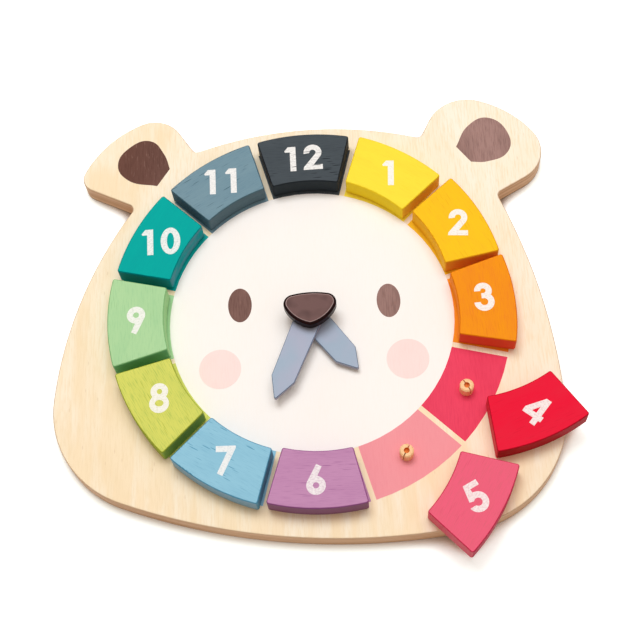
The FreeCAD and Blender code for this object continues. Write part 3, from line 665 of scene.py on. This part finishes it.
def noseOutline(inset):
    rounds = [(Vector((x, y)), radius - inset) for x, y, radius in nosePrint["rounds"]]
    links = []
    for (first, radiusA), (second, radiusB), link in zip(rounds, rounds[1:] + rounds[:1],
                                                         nosePrint["links"]):
        span = (second - first).length
        along = (second - first) / span
        reachA, reachB = link - inset - radiusA, link - inset - radiusB
        foot = (reachA ** 2 - reachB ** 2 + span ** 2) / (2 * span)
        aside = Vector((along.y, -along.x)) * math.sqrt(reachA ** 2 - foot ** 2)
        links.append((first + along * foot + aside, link - inset))

    def angle(centre, point):
        return math.degrees(math.atan2(point.y - centre.y, point.x - centre.x))

    steps = []
    for at, (centre, radius) in enumerate(rounds):
        arrive, leave = angle(links[at - 1][0], centre), angle(links[at][0], centre)
        following = angle(links[at][0], rounds[(at + 1) % len(rounds)][0])
        steps.append((centre.x, centre.y, radius, radius, arrive, arrive - (arrive - leave) % 360))
        steps.append((*links[at][0], links[at][1], links[at][1], leave, leave - (leave - following) % 360))
    return steps


# painted highlight: the pale line round the nose print
rimHighlightMaterial = makeNoseInkAndHighlight("paintedRimHighlight", nosePrint["line"])
topInk = makeNoseInkAndHighlight("brownInkOverLacquer", nosePrint["top"])
layInk("nose_rim_highlight", [noseOutline(nosePrint["line"]["inset"])], rimHighlightMaterial, "board", noseTop)
layInk("nose_print", [noseOutline(nosePrint["top"]["inset"])], topInk, "board", noseTop,
       layer=2)
print("nose inks laid")

# Stage: a white floor and world, and soft lamps high up, the strongest behind and to the left. Seen
# straight, in gloss or through glass the floor also glows, up to white. Where the board or a block closes
# off its sky, the glow sinks to a dim brown (contact), and further in the paint darkens too (shade): a
# painted shadow that deepens the one the lamps cast under their edges. Far off it is plain white. The
# Where values here are the open share of the sky within its reach, and metres for the plain part. The
# drop, in mm, keeps the floor clear.
stage = {
    "floor": 6.0, "floorDrop": 0.3, "floorColour": "#F6F5F3", "floorGlow": "#A4AFAB", "white": "#FFFFFF",
    "skyReach": 0.05, "contact": "#5A4838", "contactWhere": (0.5, 0.62),
    "shade": "#6A564A", "shadeWhere": (0.36, 0.52), "plainWhere": (0.3, 0.6),
    "skyGlow": 0.41, "skyColour": "#FFEBD9", "lampColour": "#F2F9FF",
}
lamps = {
    "key": {"place": (-0.33, 0.72, 2.1), "size": 1.1, "watts": 23.5},
    "second": {"place": (0.55, 0.65, 2.1), "size": 1.3, "watts": 12.5},
    "fill": {"place": (0.7, -0.3, 2.2), "size": 1.8, "watts": 4},
}


def unlitRays(tree):
    # 1 for what is seen straight, in gloss or through glass, and 0 for the light that falls on things.
    rays = addNode(tree, "LightPath")
    seen = addNode(tree, "Math", {0: rays.outputs["Is Camera Ray"], 1: rays.outputs["Is Glossy Ray"]},
                   operation="MAXIMUM")
    return addNode(tree, "Math", {0: seen.outputs["Value"], 1: rays.outputs["Is Transmission Ray"]},
                   operation="MAXIMUM").outputs["Value"]


def makeFloor():
    material, tree = startMaterial("whiteSweepPainted")
    seen = unlitRays(tree)
    sky = addNode(tree, "AmbientOcclusion", {"Distance": stage["skyReach"]}).outputs["AO"]
    # painted shadow: the floor darkens where its sky is closed off
    shaded = layTone(tree, stage["shade"], stage["white"], sky, *stage["shadeWhere"])
    colour = addNode(tree, "Mix", {0: seen, 6: stage["floorColour"], 7: shaded}, data_type="RGBA")
    matt = addNode(tree, "BsdfDiffuse", {"Color": colour.outputs[2]})
    # painted shadow: the glow sinks to a dim brown there
    tone = layTone(tree, stage["contact"], stage["floorGlow"], sky, *stage["contactWhere"])
    glow = addNode(tree, "Emission", {"Color": tone, "Strength": seen})
    near = addNode(tree, "AddShader", {0: matt.outputs["BSDF"], 1: glow.outputs["Emission"]})
    reach = addNode(tree, "VectorMath", {0: addNode(tree, "TexCoord").outputs["Object"]}, operation="LENGTH")
    start, end = stage["plainWhere"]
    far = addNode(tree, "MapRange", {"Value": reach.outputs["Value"], "From Min": start, "From Max": end})
    plain = addNode(tree, "Math", {0: seen, 1: far.outputs["Result"]}, operation="MULTIPLY")
    white = addNode(tree, "Emission", {"Color": stage["white"], "Strength": 1.0})
    mix = addNode(tree, "MixShader", {0: plain.outputs["Value"], 1: near.outputs["Shader"],
                                      2: white.outputs["Emission"]})
    addNode(tree, "OutputMaterial", {"Surface": mix.outputs["Shader"]})
    half = stage["floor"] / 2
    height = -stage["floorDrop"] * mm
    corners = [(-half, -half, height), (half, -half, height), (half, half, height), (-half, half, height)]
    floor = addMesh("floor", corners, [(0, 1, 2, 3)], material)


def makeLight():
    world = bpy.data.worlds.new("studio")
    bpy.context.scene.world = world
    world.use_nodes = True
    tree = world.node_tree
    tree.nodes.clear()
    dim = addNode(tree, "Background", {"Color": stage["skyColour"], "Strength": stage["skyGlow"]})
    white = addNode(tree, "Background", {"Color": stage["white"], "Strength": 1.0})
    mix = addNode(tree, "MixShader", {0: unlitRays(tree), 1: dim.outputs["Background"],
                                      2: white.outputs["Background"]})
    addNode(tree, "OutputWorld", {"Surface": mix.outputs["Shader"]})

    for name, lamp in lamps.items():
        light = bpy.data.lights.new(name, "AREA")
        light.shape = "DISK"
        light.size = lamp["size"]
        light.energy = lamp["watts"]
        light.color = linear(stage["lampColour"])[:3]
        made = addObject(name, light)
        made.location = lamp["place"]
        made.rotation_euler = Vector(lamp["place"]).to_track_quat("Z", "Y").to_euler()


makeFloor()
makeLight()
print("stage lit")

# Camera, turned by the given degrees about X, Y and Z.
view = {"lens": 74.78, "sensor": 36, "place": (0.028302, -0.317659, 0.729091),
        "turn": (23.71, 2.942, -2.444)}
camera = addObject("camera", bpy.data.cameras.new("camera"))
camera.data.lens = view["lens"]
camera.data.sensor_width = view["sensor"]
camera.location = view["place"]
camera.rotation_euler = [math.radians(angle) for angle in view["turn"]]
bpy.context.scene.camera = camera
bpy.context.scene.view_settings.view_transform = "Standard"

print("camera placed")
